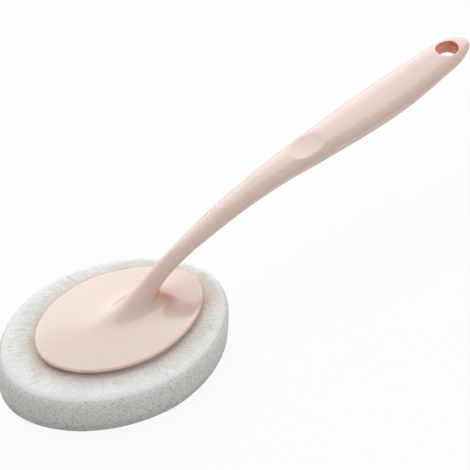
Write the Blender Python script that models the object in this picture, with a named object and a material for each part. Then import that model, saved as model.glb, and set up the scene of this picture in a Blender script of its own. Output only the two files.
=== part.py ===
"""Long-handled oval scrub brush.

One moulded piece makes the oval head plate, the swan neck and the grip. A sheet of small
hooks is bonded into a shallow recess under the plate, and a replaceable oval pad hangs on
those hooks: a napped loop face, a foam core and a scouring web, laminated together.
The frame stands at the centre of the pad's flat underside, +X runs along the handle.
"""
import bmesh
import bpy
import numpy as np

# Pad, laid up from the floor in three layers with a thin bond line between them
PAD_LENGTH = 0.145
PAD_WIDTH = 0.1076
PAD_POWER = 1.87
PAD_EGG = -0.016
SCOUR_THICKNESS = 0.0070
CORE_THICKNESS = 0.0158
LOOP_THICKNESS = 0.0014
BOND_LINE = 0.0003
PAD_BOTTOM_ROUND = 0.0043
PAD_TOP_ROUND = 0.0054
PAD_SIDE_CROWN = 0.0006

# Head plate, an oval with a rounded rim and a slightly domed top, held above the pad by the
# hook sheet
HEAD_LENGTH = 0.1074
HEAD_WIDTH = 0.0712
HEAD_CENTRE = 0.0040
HEAD_POWER = 1.895
HEAD_EGG = -0.047
RIM_HEIGHT = 0.0024
RIM_ROUND = 0.0011
HEAD_DOME = 0.0018
SEAT_GAP = 0.0003

# Hook sheet, seated in a recess under the plate and standing proud of it
HOOK_THICKNESS = 0.0031
HOOK_PROUD = 0.0021
HOOK_MARGIN = 0.0033
HOOK_CLEARANCE = 0.0003

# Handle: run of each section from the one before it, and its climb above the one before it
NECK_REACH = 0.0473
STEM_RUN = 0.0145
SHOULDER_RUN = 0.0530
THUMB_RUN = 0.0311
GRIP_RUN = 0.0657
END_RUN = 0.0320
TIP_RUN = 0.0210
NECK_RISE = 0.0248
STEM_RISE = 0.0063
SHOULDER_RISE = 0.0147
THUMB_RISE = 0.0047
GRIP_RISE = 0.0096
END_RISE = 0.0062

# Handle cross sections: full width, crown above the parting line and belly below it
NECK_WIDTH = 0.0102
NECK_CROWN = 0.0047
NECK_BELLY = 0.0042
STEM_WIDTH = 0.0121
STEM_CROWN = 0.0044
STEM_BELLY = 0.0049
SHOULDER_WIDTH = 0.0171
SHOULDER_CROWN = 0.0053
SHOULDER_BELLY = 0.0066
THUMB_WIDTH = 0.0207
THUMB_CROWN = 0.0055
THUMB_BELLY = 0.0088
GRIP_WIDTH = 0.0249
GRIP_CROWN = 0.0055
GRIP_BELLY = 0.0096
END_WIDTH = 0.0212
END_CROWN = 0.0051
END_BELLY = 0.0063
NECK_POWER = 2.0
SHOULDER_POWER = 2.2
GRIP_POWER = 2.35
TIP_POWER = 1.77

# Swan neck: how the plate sweeps up into the stem, and the stem's slope where it takes over
NECK_SLOPE = 0.444
RIDGE_POWER = 4.33
FLARE_POWER = 3.3
CROTCH_PULL = 0.0490
CROTCH_START = 0.0520

# Thumb dimple ahead of the thumb section, scooped wider than the crown so that it runs out
# on both flanks
DIMPLE_LENGTH = 0.023
DIMPLE_WIDTH = 0.050
DIMPLE_DEPTH = 0.0018
DIMPLE_AHEAD = 0.0077
DIMPLE_FOOTPRINT = 0.7

# Hanging hole through the end
HOLE_LENGTH = 0.0133
HOLE_WIDTH = 0.0124
HOLE_TO_TIP = 0.0166
HOLE_POWER = 2.2

# Gas channel that cores out the thick stem and grip, opened by a pin hole under the plate
CHANNEL_WALL = 0.0030
CHANNEL_TO_HOLE = 0.009
PIN_REACH = 0.013
PIN_WIDTH = 0.003
PIN_LENGTH = 0.006
ROOT_PULL = 0.020

# Facets
AROUND_HANDLE = 36
AROUND_PAD = 64
AROUND_CHANNEL = 12
AROUND_HOLE = 28
AROUND_DIMPLE = 36
HEAD_RINGS = 18
STEM_RINGS = 34
TIP_RINGS = 7
ROOT_STEPS = 8
CHANNEL_RINGS = 22
DIMPLE_RINGS = 13
ROUND_STEPS = 4
CUT_OVERRUN = 0.004
SLOPE_STEP = 0.0005
SHARP_ANGLE = 40

# Places that follow from the sizes above
PAD_HEIGHT = SCOUR_THICKNESS + CORE_THICKNESS + LOOP_THICKNESS + 2 * BOND_LINE
HOOK_BOTTOM = PAD_HEIGHT + SEAT_GAP
HEAD_BOTTOM = HOOK_BOTTOM + HOOK_PROUD
HEAD_TOP = HEAD_BOTTOM + RIM_HEIGHT
RECESS_DEPTH = HOOK_THICKNESS - HOOK_PROUD + HOOK_CLEARANCE
REACHES = np.cumsum([NECK_REACH, STEM_RUN, SHOULDER_RUN, THUMB_RUN, GRIP_RUN, END_RUN])
CLIMBS = np.cumsum([NECK_RISE, STEM_RISE, SHOULDER_RISE, THUMB_RISE, GRIP_RISE, END_RISE])
HEIGHTS = HEAD_TOP + CLIMBS
WIDTHS = [NECK_WIDTH, STEM_WIDTH, SHOULDER_WIDTH, THUMB_WIDTH, GRIP_WIDTH, END_WIDTH]
CROWNS = [NECK_CROWN, STEM_CROWN, SHOULDER_CROWN, THUMB_CROWN, GRIP_CROWN, END_CROWN]
BELLIES = [NECK_BELLY, STEM_BELLY, SHOULDER_BELLY, THUMB_BELLY, GRIP_BELLY, END_BELLY]
POWERS = [NECK_POWER, NECK_POWER, SHOULDER_POWER, GRIP_POWER, GRIP_POWER, GRIP_POWER]
NECK, THUMB, END = 0, 3, 5
DIMPLE_REACH = REACHES[THUMB] - DIMPLE_AHEAD
TIP_REACH = REACHES[END] + TIP_RUN
HOLE_REACH = TIP_REACH - HOLE_TO_TIP


def clear_scene():
    """Remove every object, so that the model starts from nothing."""
    for thing in list(bpy.data.objects):
        bpy.data.objects.remove(thing)


def material(name, colour, roughness):
    """A plain plastic or fibre material with its own colour and roughness."""
    made = bpy.data.materials.new(name)
    made.use_nodes = True
    shader = made.node_tree.nodes["Principled BSDF"]
    shader.inputs["Base Color"].default_value = (*colour, 1.0)
    shader.inputs["Roughness"].default_value = roughness
    shader.inputs["Metallic"].default_value = 0.0
    return made


def superellipse(power, around):
    """Cosine and sine of a turn, each raised to 2/power, which squares the circle's corners."""
    angle = np.linspace(0, 2 * np.pi, around, endpoint=False)
    c, s = np.cos(angle), np.sin(angle)
    return np.sign(c) * np.abs(c) ** (2 / power), np.sign(s) * np.abs(s) ** (2 / power)


def section(front, back, split, half_width, power, taper, around):
    """Closed ring in the plane through two rail points: front above, back below.

    The widest place lies at the share split of the way from front to back. A taper above
    zero narrows the ring towards the front rail, and below zero towards the back rail.
    """
    c, s = superellipse(power, around)
    front, back = np.asarray(front), np.asarray(back)
    middle = front + split * (back - front)
    rise = np.maximum(c, 0)[:, None] * (front - middle)
    fall = np.minimum(c, 0)[:, None] * (middle - back)
    place = middle + rise + fall
    return np.column_stack([place[:, 0], half_width * s * (1 - taper * c), place[:, 1]])


def oval(length, width, centre, inset, height, power, egg, around):
    """Level ring of an oval outline, drawn in by an inset all round."""
    front = (centre - length / 2 + inset, height)
    back = (centre + length / 2 - inset, height)
    return section(front, back, 0.5, width / 2 - inset, power, egg, around)


def bezier(start, pull_start, pull_end, end, share):
    """Cubic Bezier curve through start and end at each share of its run."""
    t = np.atleast_1d(share)[:, None]
    near = (1 - t) ** 3 * np.asarray(start) + 3 * (1 - t) ** 2 * t * np.asarray(pull_start)
    far = 3 * (1 - t) * t ** 2 * np.asarray(pull_end) + t ** 3 * np.asarray(end)
    return near + far


def through(knots, values, at, first_slope=None):
    """Cubic Hermite curve through values at knots, with slopes taken from the neighbours.

    The first slope may be given, where the curve carries on from another one.
    """
    values = np.asarray(values)
    slopes = np.gradient(values, knots)
    if first_slope is not None:
        slopes[0] = first_slope
    low = np.clip(np.searchsorted(knots, at, side="right") - 1, 0, len(knots) - 2)
    gap = knots[low + 1] - knots[low]
    t = (at - knots[low]) / gap
    ends = (2 * t ** 3 - 3 * t ** 2 + 1) * values[low] + (3 * t ** 2 - 2 * t ** 3) * values[low + 1]
    turns = (t ** 3 - 2 * t ** 2 + t) * slopes[low] + (t ** 3 - t ** 2) * slopes[low + 1]
    return ends + gap * turns


def stem_frame(reach):
    """Place, upward normal and section sizes of the handle at each reach along +X.

    The sizes are the half width, the crown above, the belly below and the section's power.
    They start level at the neck, where the flare hands over to the stem.
    """
    reach = np.atleast_1d(reach)
    ahead = np.minimum(reach + SLOPE_STEP, REACHES[END])
    behind = np.maximum(reach - SLOPE_STEP, REACHES[NECK])
    low, height, high = (
        through(REACHES, HEIGHTS, at, NECK_SLOPE) for at in (behind, reach, ahead)
    )
    slope = np.arctan2(high - low, ahead - behind)
    place = np.column_stack([reach, height])
    normal = np.column_stack([-np.sin(slope), np.cos(slope)])
    width, crown, belly = (
        through(REACHES, values, reach, 0) for values in (WIDTHS, CROWNS, BELLIES)
    )
    power = through(REACHES, POWERS, reach)
    return place, normal, np.column_stack([width / 2, crown, belly, power])


def along(normal):
    """Direction of the handle's run, a quarter turn on from its upward normal."""
    return np.array([normal[1], -normal[0]])


def ring_mesh(name, rings):
    """Closed mesh skinned over a list of rings, with a flat cap on the first and the last."""
    around = len(rings[0])
    points = np.vstack(rings)
    faces = [tuple(range(around)), tuple(range(len(points) - 1, len(points) - around - 1, -1))]
    for k in range(len(rings) - 1):
        low, high = k * around, (k + 1) * around
        for j in range(around):
            n = (j + 1) % around
            faces.append((low + j, high + j, high + n, low + n))
    mesh = bpy.data.meshes.new(name)
    mesh.from_pydata(points.tolist(), [], faces)
    work = bmesh.new()
    work.from_mesh(mesh)
    bmesh.ops.recalc_face_normals(work, faces=work.faces)
    work.to_mesh(mesh)
    work.free()
    mesh.shade_smooth()
    mesh.set_sharp_from_angle(angle=np.radians(SHARP_ANGLE))
    return mesh


def solid(name, rings, finish):
    """Object of one closed body with its own material."""
    made = bpy.data.objects.new(name, ring_mesh(name, rings))
    made.data.materials.append(finish)
    bpy.context.scene.collection.objects.link(made)
    return made


def cut(target, name, rings):
    """Take a hidden cutter of the given rings out of the target."""
    cutter = bpy.data.objects.new(name, ring_mesh(name, rings))
    cutter.hide_render = True
    cutter.display_type = "WIRE"
    bpy.context.scene.collection.objects.link(cutter)
    boolean = target.modifiers.new(name, "BOOLEAN")
    boolean.operation = "DIFFERENCE"
    boolean.solver = "EXACT"
    boolean.object = cutter


def rim_rings():
    """Head plate's rim, from its flat underside round both rounded edges to its top."""
    turn = np.linspace(0, np.pi / 2, ROUND_STEPS)
    lower = [(RIM_ROUND * (1 - np.sin(a)), HEAD_BOTTOM + RIM_ROUND * (1 - np.cos(a))) for a in turn]
    upper = [(RIM_ROUND * (1 - np.cos(a)), HEAD_TOP - RIM_ROUND * (1 - np.sin(a))) for a in turn]
    return [
        oval(HEAD_LENGTH, HEAD_WIDTH, HEAD_CENTRE, inset, height, HEAD_POWER, HEAD_EGG, AROUND_HANDLE)
        for inset, height in lower + upper
    ]


def flare_rings():
    """Rings that carry the plate's top up into the neck, each tilted a little more.

    The front rail climbs as a power of its run, eased so that it meets the stem's slope.
    The back rail is a Bezier curve that runs in along the plate, turns up in the crotch and
    leaves along the stem. The plate's dome, a paraboloid over the plate, fades out up the
    neck.
    """
    (place,), (normal,), ((half_width, crown, belly, power),) = stem_frame(REACHES[NECK])
    front_end = place + crown * normal
    back_end = place - belly * normal
    front_start = np.array([HEAD_CENTRE - HEAD_LENGTH / 2 + RIM_ROUND, HEAD_TOP])
    back_start = np.array([HEAD_CENTRE + HEAD_LENGTH / 2 - RIM_ROUND, HEAD_TOP])
    share = np.linspace(0, 1, HEAD_RINGS)[1:]
    run, rise = front_end - front_start
    ease = RIDGE_POWER - NECK_SLOPE * run / rise
    climb = share ** RIDGE_POWER * (1 + ease * (1 - share))
    front = front_start + np.column_stack([run * share, rise * climb])
    turn_in = (CROTCH_START, HEAD_TOP)
    back = bezier(back_start, turn_in, back_end - CROTCH_PULL * along(normal), back_end, share)
    split = 0.5 + (crown / (crown + belly) - 0.5) * share
    wide = HEAD_WIDTH / 2 - RIM_ROUND
    width = half_width + (wide - half_width) * (1 - share) ** FLARE_POWER
    squareness = HEAD_POWER + (power - HEAD_POWER) * share
    taper = HEAD_EGG * (1 - share) ** 2
    half_length = HEAD_LENGTH / 2 - RIM_ROUND
    rings = []
    for left, *ring in zip(1 - share, front, back, split, width, squareness, taper):
        points = section(*ring, AROUND_HANDLE)
        away = ((points[:, 0] - HEAD_CENTRE) / half_length) ** 2 + (points[:, 1] / wide) ** 2
        points[:, 2] += left * HEAD_DOME * np.clip(1 - away, 0, 1)
        rings.append(points)
    return rings


def stem_rings(reach, wall, around):
    """Rings across the handle at each reach, drawn in by a wall."""
    rings = []
    for place, normal, (half_width, crown, belly, power) in zip(*stem_frame(reach)):
        over, under = crown - wall, belly - wall
        top, bottom = place + over * normal, place - under * normal
        split = over / (over + under)
        rings.append(section(top, bottom, split, half_width - wall, power, 0, around))
    return rings


def tip_rings():
    """Rings that close the handle's end as a superellipse in plan and from the side."""
    (place,), (normal,), ((half_width, crown, belly, power),) = stem_frame(REACHES[END])
    rings = []
    for turn in np.linspace(0, np.pi / 2, TIP_RINGS + 2)[1:-1]:
        size = np.cos(turn) ** (2 / TIP_POWER)
        middle = place + TIP_RUN * np.sin(turn) ** (2 / TIP_POWER) * along(normal)
        top, bottom = middle + size * crown * normal, middle - size * belly * normal
        split = crown / (crown + belly)
        rings.append(section(top, bottom, split, size * half_width, power, 0, AROUND_HANDLE))
    return rings


def recess_rings():
    """Cutter for the shallow recess that takes the hook sheet."""
    margin = HOOK_MARGIN - HOOK_CLEARANCE
    heights = (HEAD_BOTTOM - CUT_OVERRUN, HEAD_BOTTOM + RECESS_DEPTH)
    return [
        oval(HEAD_LENGTH, HEAD_WIDTH, HEAD_CENTRE, margin, z, HEAD_POWER, HEAD_EGG, AROUND_PAD)
        for z in heights
    ]


def channel_rings():
    """Cutter for the gas channel: up the pin hole, round into the stem, along to the grip."""
    (place,), (normal,), ((half_width, crown, belly, power),) = stem_frame(REACHES[NECK])
    inner = np.array([half_width, crown, belly]) - CHANNEL_WALL
    start = np.array([PIN_REACH, HEAD_BOTTOM])
    turn_up = start + (0, PIN_LENGTH)
    share = np.linspace(0, 1, ROOT_STEPS, endpoint=False)
    path = bezier(start, turn_up, place - ROOT_PULL * along(normal), place, share)
    heading = np.gradient(path, axis=0)
    heading[0] = (0, 1)
    heading /= np.linalg.norm(heading, axis=1)[:, None]
    rings = []
    for middle, (run, rise), grown in zip(path, heading, share ** 2):
        side, over, under = PIN_WIDTH / 2 + grown * (inner - PIN_WIDTH / 2)
        across = np.array([-rise, run])
        top, bottom = middle + over * across, middle - under * across
        rings.append(section(top, bottom, over / (over + under), side, power, 0, AROUND_CHANNEL))
    mouth = rings[0] - (0, 0, CUT_OVERRUN)
    channel_end = HOLE_REACH - HOLE_LENGTH / 2 - CHANNEL_TO_HOLE
    reach = np.linspace(REACHES[NECK], channel_end, CHANNEL_RINGS)
    return [mouth] + rings + stem_rings(reach, CHANNEL_WALL, AROUND_CHANNEL)


def hole_rings():
    """Cutter for the upright oval hanging hole."""
    ((reach, height),), normals, ((half_width, crown, belly, power),) = stem_frame(REACHES[END])
    return [
        oval(HOLE_LENGTH, HOLE_WIDTH, HOLE_REACH, 0, z, HOLE_POWER, 0, AROUND_HOLE)
        for z in (height - belly - CUT_OVERRUN, height + crown + CUT_OVERRUN)
    ]


def dimple_rings():
    """Cutter for the thumb dimple: an ellipsoid that dips into the crown.

    A footprint share f of an ellipsoid's equator lies at the share sqrt(1 - f squared) of
    its half height, so the dimple's length, width and depth fix the whole ellipsoid.
    """
    (place,), (normal,), ((half_width, crown, belly, power),) = stem_frame(DIMPLE_REACH)
    tall = DIMPLE_DEPTH / (1 - np.sqrt(1 - DIMPLE_FOOTPRINT ** 2))
    centre = place + (crown + tall - DIMPLE_DEPTH) * normal
    rings = []
    for turn in np.linspace(-np.pi / 2, np.pi / 2, DIMPLE_RINGS + 2)[1:-1]:
        level = centre + tall * np.sin(turn) * normal
        equator = np.cos(turn) / DIMPLE_FOOTPRINT
        reach = equator * DIMPLE_LENGTH / 2 * along(normal)
        side = equator * DIMPLE_WIDTH / 2
        rings.append(section(level - reach, level + reach, 0.5, side, 2.0, 0, AROUND_DIMPLE))
    return rings


def handle():
    """Head plate, neck and grip as one moulding, cored, holed and dimpled."""
    finish = material("moulded_polypropylene", (0.86, 0.70, 0.64), 0.42)
    reach = np.linspace(REACHES[NECK], REACHES[END], STEM_RINGS)[1:]
    stem = stem_rings(reach, 0, AROUND_HANDLE)
    body = solid("handle", rim_rings() + flare_rings() + stem + tip_rings(), finish)
    cut(body, "hook_recess_cutter", recess_rings())
    cut(body, "gas_channel_cutter", channel_rings())
    cut(body, "hanging_hole_cutter", hole_rings())
    cut(body, "thumb_dimple_cutter", dimple_rings())
    return body


def hook_sheet():
    """Sheet of small hooks on a thick back, set into the recess and clear of its walls."""
    finish = material("nylon_hook_tape", (0.75, 0.75, 0.73), 0.6)
    rings = [
        oval(HEAD_LENGTH, HEAD_WIDTH, HEAD_CENTRE, HOOK_MARGIN, z, HEAD_POWER, HEAD_EGG, AROUND_PAD)
        for z in (HOOK_BOTTOM, HOOK_BOTTOM + HOOK_THICKNESS)
    ]
    return solid("hook_sheet", rings, finish)


def pad_inset(height):
    """How far the pad's side is drawn in at a height: rounded edges and a crowned side."""
    crown = PAD_SIDE_CROWN * (2 * height / PAD_HEIGHT - 1) ** 2
    into_bottom = np.clip(1 - height / PAD_BOTTOM_ROUND, 0, 1)
    into_top = np.clip(1 - (PAD_HEIGHT - height) / PAD_TOP_ROUND, 0, 1)
    bottom = PAD_BOTTOM_ROUND * (1 - np.sqrt(1 - into_bottom ** 2))
    top = PAD_TOP_ROUND * (1 - np.sqrt(1 - into_top ** 2))
    return crown + bottom + top


def pad_layer(name, heights, finish):
    """One layer of the pad, skinned over level ovals at the given heights."""
    rings = [
        oval(PAD_LENGTH, PAD_WIDTH, 0, pad_inset(z), z, PAD_POWER, PAD_EGG, AROUND_PAD)
        for z in heights
    ]
    return solid(name, rings, finish)


def pad():
    """Scouring web, foam core and loop face, laid up in that order."""
    core_bottom = SCOUR_THICKNESS + BOND_LINE
    core_top = core_bottom + CORE_THICKNESS
    loop_bottom = core_top + BOND_LINE
    scour = material("scouring_web", (0.62, 0.64, 0.61), 0.95)
    foam = material("melamine_foam", (0.72, 0.73, 0.71), 0.9)
    loop = material("napped_loop_cloth", (0.80, 0.80, 0.78), 0.95)
    turn = np.linspace(0, np.pi / 2, ROUND_STEPS + 1)
    edge = PAD_BOTTOM_ROUND * (1 - np.cos(turn))
    shoulder = np.linspace(PAD_HEIGHT - PAD_TOP_ROUND, core_top, ROUND_STEPS)
    nap = loop_bottom + LOOP_THICKNESS * np.sin(np.linspace(0, np.pi / 2, ROUND_STEPS))
    pad_layer("scouring_face", [*edge, SCOUR_THICKNESS], scour)
    pad_layer("foam_core", [core_bottom, (core_bottom + shoulder[0]) / 2, *shoulder], foam)
    pad_layer("loop_face", nap, loop)


def lift_axis(pieces):
    """Empty on the line along which the head leaves the pad, which carries the pieces."""
    axis = bpy.data.objects.new("lift_off_axis", None)
    axis.location = (0, 0, HEAD_BOTTOM)
    bpy.context.scene.collection.objects.link(axis)
    for piece in pieces:
        piece.parent = axis
        piece.location = (0, 0, -HEAD_BOTTOM)


clear_scene()
lift_axis([handle(), hook_sheet()])
pad()
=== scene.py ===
"""Long-handled oval scrub brush on its sponge pad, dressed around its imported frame.

The sections follow the brush as it is put together: the moulded handle, the hook sheet
under its plate, then the pad's loop face, foam core and scouring web. Sizes are in metres.
"""

import bpy
import numpy as np
from mathutils import Matrix


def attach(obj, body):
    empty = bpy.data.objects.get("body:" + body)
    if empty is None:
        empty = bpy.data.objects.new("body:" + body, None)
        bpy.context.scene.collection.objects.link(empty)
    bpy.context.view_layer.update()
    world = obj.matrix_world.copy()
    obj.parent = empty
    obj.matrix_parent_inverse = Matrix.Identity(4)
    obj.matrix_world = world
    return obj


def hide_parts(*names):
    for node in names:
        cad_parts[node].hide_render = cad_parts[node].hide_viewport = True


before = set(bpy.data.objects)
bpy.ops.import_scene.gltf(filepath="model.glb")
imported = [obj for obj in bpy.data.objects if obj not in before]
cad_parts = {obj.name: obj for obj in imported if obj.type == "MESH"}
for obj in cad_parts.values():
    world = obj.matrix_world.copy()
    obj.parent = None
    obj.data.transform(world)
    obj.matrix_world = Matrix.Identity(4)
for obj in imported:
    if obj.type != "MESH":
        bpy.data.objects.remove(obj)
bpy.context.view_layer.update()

# Camera. A long lens stands to the left of the head and looks down along the handle, so
# the near end of the pad fills the lower left corner and the grip leaves at the upper right.
CAMERA_PLACE = (-0.7106, -0.8819, 1.0839)
CAMERA_YAW = 47.861
CAMERA_PITCH = 41.162
CAMERA_ROLL = 2.328
CAMERA_LENS = 213.33
CAMERA_SENSOR = 36.0

yaw, pitch, roll = np.radians([CAMERA_YAW, CAMERA_PITCH, CAMERA_ROLL])
forward = np.array([np.cos(pitch) * np.cos(yaw), np.cos(pitch) * np.sin(yaw), -np.sin(pitch)])
level = np.array([np.sin(yaw), -np.cos(yaw), 0])
upright = np.cross(level, forward)
right = np.cos(roll) * level + np.sin(roll) * upright
up = np.cos(roll) * upright - np.sin(roll) * level
camera = bpy.data.objects.new("camera", bpy.data.cameras.new("camera"))
camera.data.lens = CAMERA_LENS
camera.data.sensor_width = CAMERA_SENSOR
camera.data.clip_start, camera.data.clip_end = 0.01, 100
camera.matrix_world = Matrix(
    [[*row, place] for row, place in zip(np.column_stack([right, up, -forward]), CAMERA_PLACE)]
    + [[0, 0, 0, 1]]
)
bpy.context.scene.collection.objects.link(camera)
bpy.context.scene.camera = camera
bpy.context.scene.view_settings.view_transform = "Standard"

# Studio. A white floor under a bright sky dome, as in a light tent. A bright screen and a
# dimmer wing stand behind the brush, where its glossy plate mirrors them. A softbox hangs
# overhead. A canopy above and a fill light to the right are kept out of the mirror image.
FLOOR_HALF = 4.0
FLOOR_HEIGHT = -0.00005
FLOOR_WHITE = "#E2E2E0"
SKY_WHITE = "#F4F6F8"
SKY_FACING = (0.35, -0.85, 0.40)
SKY_STRENGTHS = (0.34, 0.52)
LAMPS = {
    "screen": {"place": (0.68, 1.88, 1.04), "aim": (0.0, 0.0, 1.04), "size": (1.86, 2.0), "watts": 19.0},
    "wing": {"place": (1.80, 0.90, 1.20), "aim": (0.0, 0.0, 1.20), "size": (1.3, 2.3), "watts": 11.0},
    "softbox": {"place": (0.54, 0.77, 1.77), "aim": (0.0, 0.0, 0.03), "size": (2.0, 1.1), "watts": 6.5},
    "canopy": {"place": (-0.5, 0.55, 1.9), "aim": (0.1, 0.0, 0.05), "size": (1.6, 1.2), "watts": 11.0},
    "fill": {"place": (0.6, -1.6, 1.2), "aim": (0.0, 0.0, 0.05), "size": (1.2, 1.2), "watts": 6.5},
}
UNMIRRORED = ("canopy", "fill")
BACKGROUND_SHARE = 0.92


def linear(code):
    """sRGB hex colour turned linear, with full opacity."""
    parts = np.array([int(code[k:k + 2], 16) for k in (1, 3, 5)]) / 255
    turned = np.where(parts <= 0.04045, parts / 12.92, ((parts + 0.055) / 1.055) ** 2.4)
    return (*turned, 1.0)


def node(tree, kind, settings=None, inputs=None):
    """Add a node, set its properties, and give its inputs their values or links."""
    made = tree.nodes.new("ShaderNode" + kind)
    for name, value in (settings or {}).items():
        setattr(made, name, value)
    for name, value in (inputs or {}).items():
        if isinstance(value, bpy.types.NodeSocket):
            tree.links.new(value, made.inputs[name])
        else:
            made.inputs[name].default_value = value
    return made


def blend(tree, share, low, high):
    """Socket with the colour between two colours, by a share from 0 to 1."""
    return node(tree, "Mix", {"data_type": "RGBA"}, {0: share, 6: low, 7: high}).outputs[2]


def seen_directly(tree):
    """Socket that is 1 for rays that show the background: straight, mirrored or through glass."""
    path = node(tree, "LightPath")
    mirrored = node(tree, "Math", {"operation": "MAXIMUM"}, {
        0: path.outputs["Is Camera Ray"], 1: path.outputs["Is Glossy Ray"]})
    return node(tree, "Math", {"operation": "MAXIMUM"}, {
        0: mirrored.outputs[0], 1: path.outputs["Is Transmission Ray"]}).outputs[0]


def fresh_tree(owner):
    """Emptied node tree of a world or a material."""
    owner.use_nodes = True
    owner.node_tree.nodes.clear()
    return owner.node_tree


world = bpy.data.worlds.new("studio_sky")
bpy.context.scene.world = world
tree = fresh_tree(world)
facing = node(tree, "VectorMath", {"operation": "DOT_PRODUCT"}, {
    0: node(tree, "TexCoord").outputs["Generated"], 1: SKY_FACING})
swell = node(tree, "MapRange", None, {
    "Value": facing.outputs["Value"], "From Min": -1.0, "From Max": 1.0,
    "To Min": SKY_STRENGTHS[0], "To Max": SKY_STRENGTHS[1]})
sky = node(tree, "Background", None, {"Color": linear(SKY_WHITE), "Strength": swell.outputs[0]})
paper = node(tree, "Background", None, {"Color": (1, 1, 1, 1), "Strength": 1.0})
shown = node(tree, "MixShader", None, {0: seen_directly(tree), 1: sky.outputs[0], 2: paper.outputs[0]})
node(tree, "OutputWorld", None, {"Surface": shown.outputs[0]})

# the floor lies a hair below zero, clear of the pad's flat underside
floor_mesh = bpy.data.meshes.new("floor")
corners = [(x * FLOOR_HALF, y * FLOOR_HALF, FLOOR_HEIGHT)
           for x, y in ((-1, -1), (1, -1), (1, 1), (-1, 1))]
floor_mesh.from_pydata(corners, [], [(0, 1, 2, 3)])
floor = bpy.data.objects.new("floor", floor_mesh)
bpy.context.scene.collection.objects.link(floor)

# White studio paper. It lights the brush as matt paper does, and shows the brush's shadow
# softened towards the white background.
floor_paper = bpy.data.materials.new("white_studio_paper")
tree = fresh_tree(floor_paper)
matt = node(tree, "BsdfDiffuse", None, {"Color": linear(FLOOR_WHITE)})
glow = node(tree, "Emission", None, {"Color": (1, 1, 1, 1), "Strength": 1.0})
bright = node(tree, "MixShader", None, {0: BACKGROUND_SHARE, 1: matt.outputs[0], 2: glow.outputs[0]})
shown = node(tree, "MixShader", None, {0: seen_directly(tree), 1: matt.outputs[0], 2: bright.outputs[0]})
node(tree, "OutputMaterial", None, {"Surface": shown.outputs[0]})
floor_mesh.materials.append(floor_paper)


def aim(thing, place, target):
    """Set an object at a place with its -Z axis towards the target."""
    back = np.array(place, float) - np.array(target, float)
    back /= np.linalg.norm(back)
    side = np.cross((0, 0, 1), back)
    side /= np.linalg.norm(side)
    axes = np.column_stack([side, np.cross(back, side), back, place])
    thing.matrix_world = Matrix([*axes.tolist(), [0, 0, 0, 1]])


for name, lamp in LAMPS.items():
    made = bpy.data.objects.new(name, bpy.data.lights.new(name, "AREA"))
    made.data.shape = "RECTANGLE"
    made.data.size, made.data.size_y = lamp["size"]
    made.data.energy = lamp["watts"]
    made.visible_glossy = name not in UNMIRRORED
    aim(made, lamp["place"], lamp["aim"])
    bpy.context.scene.collection.objects.link(made)

# Handle. One gas-cored moulding in pale pink polypropylene: an oval head plate with a rolled
# rim sweeps up through a slim swan neck into a flattened grip with a thumb dimple and a
# hanging hole. The mould's two halves meet in a fine witness line along both sides.
PAD_TOP = 0.0248
SEAT_GAP = 0.0003
HOOK_THICKNESS = 0.0031
HOOK_PROUD = 0.0021
HOOK_MARGIN = 0.0033
HOOK_CLEARANCE = 0.0003
HEAD_BOTTOM = PAD_TOP + SEAT_GAP + HOOK_PROUD
HOOK_TOP = HEAD_BOTTOM - HOOK_PROUD + HOOK_THICKNESS
HEAD_LENGTH = 0.1074
HEAD_WIDTH = 0.0712
HEAD_CENTRE = 0.0040
HEAD_POWER = 1.895
HEAD_EGG = -0.047
RIM_HEIGHT = 0.0024
RIM_ROUND = 0.0011
HEAD_TOP = HEAD_BOTTOM + RIM_HEIGHT
HEAD_DOME = 0.0018
RECESS_ROUND = 0.00025
RECESS_INSETS = (0.034, 0.026, 0.014)
RECESS_EDGE = 0.001
LIP_INSETS = (0.0022, 0.0015)

# stations along the stem and grip: the reach in x of each, the height of its middle, its full
# width, its crown above and belly below the middle, and how square its section is
REACHES = np.array([0.0473, 0.0618, 0.1148, 0.1459, 0.2116, 0.2436])
HEIGHTS = HEAD_TOP + np.cumsum([0.0248, 0.0063, 0.0147, 0.0047, 0.0096, 0.0062])
WIDTHS = [0.0102, 0.0121, 0.0171, 0.0207, 0.0249, 0.0212]
CROWNS = [0.0047, 0.0044, 0.0053, 0.0055, 0.0055, 0.0051]
BELLIES = [0.0042, 0.0049, 0.0066, 0.0088, 0.0096, 0.0063]
POWERS = [2.0, 2.0, 2.2, 2.35, 2.35, 2.35]
NECK, END = REACHES[0], REACHES[-1]
TIP_RUN = 0.0210
TIP_POWER = 1.77
TIP_REACH = END + TIP_RUN
SLOPE_STEP = 0.0005
FACE_STEPS = 12

# the flare between the plate and the neck, whose ridge leaves at the stem's own slope
NECK_SLOPE = 0.444
RIDGE_POWER = 4.33
FLARE_POWER = 3.3
CROTCH_PULL = 0.0490
CROTCH_START = 0.0520

DIMPLE_REACH = 0.1382
DIMPLE_LENGTH = 0.023
DIMPLE_WIDTH = 0.050
DIMPLE_DEPTH = 0.0018
DIMPLE_FOOTPRINT = 0.7
DIMPLE_EDGE = 0.0005
DIMPLE_BAND = (0.124, 0.153)

# the window is the part of the grip, behind and ahead of the hole, that the hole's loops carry
HOLE_REACH = 0.2480
HOLE_LENGTH = 0.0133
HOLE_WIDTH = 0.0124
HOLE_POWER = 2.2
HOLE_ROUND = 0.0007
WINDOW = (0.0108, 0.0112)

PARTING_HEIGHT = 0.00055
PARTING_WIDTH = 0.00034
PARTING_START = 0.38
PARTING_FADE = 0.1
PARTING_SPREAD = 0.2

PLASTIC_PINK = "#D6BBAF"
PLASTIC_PINK_DEEP = "#D3B7AA"
PLASTIC_PAINTED_SHADE = "#CE7347"
PLASTIC_CLOUD = 0.035
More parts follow.
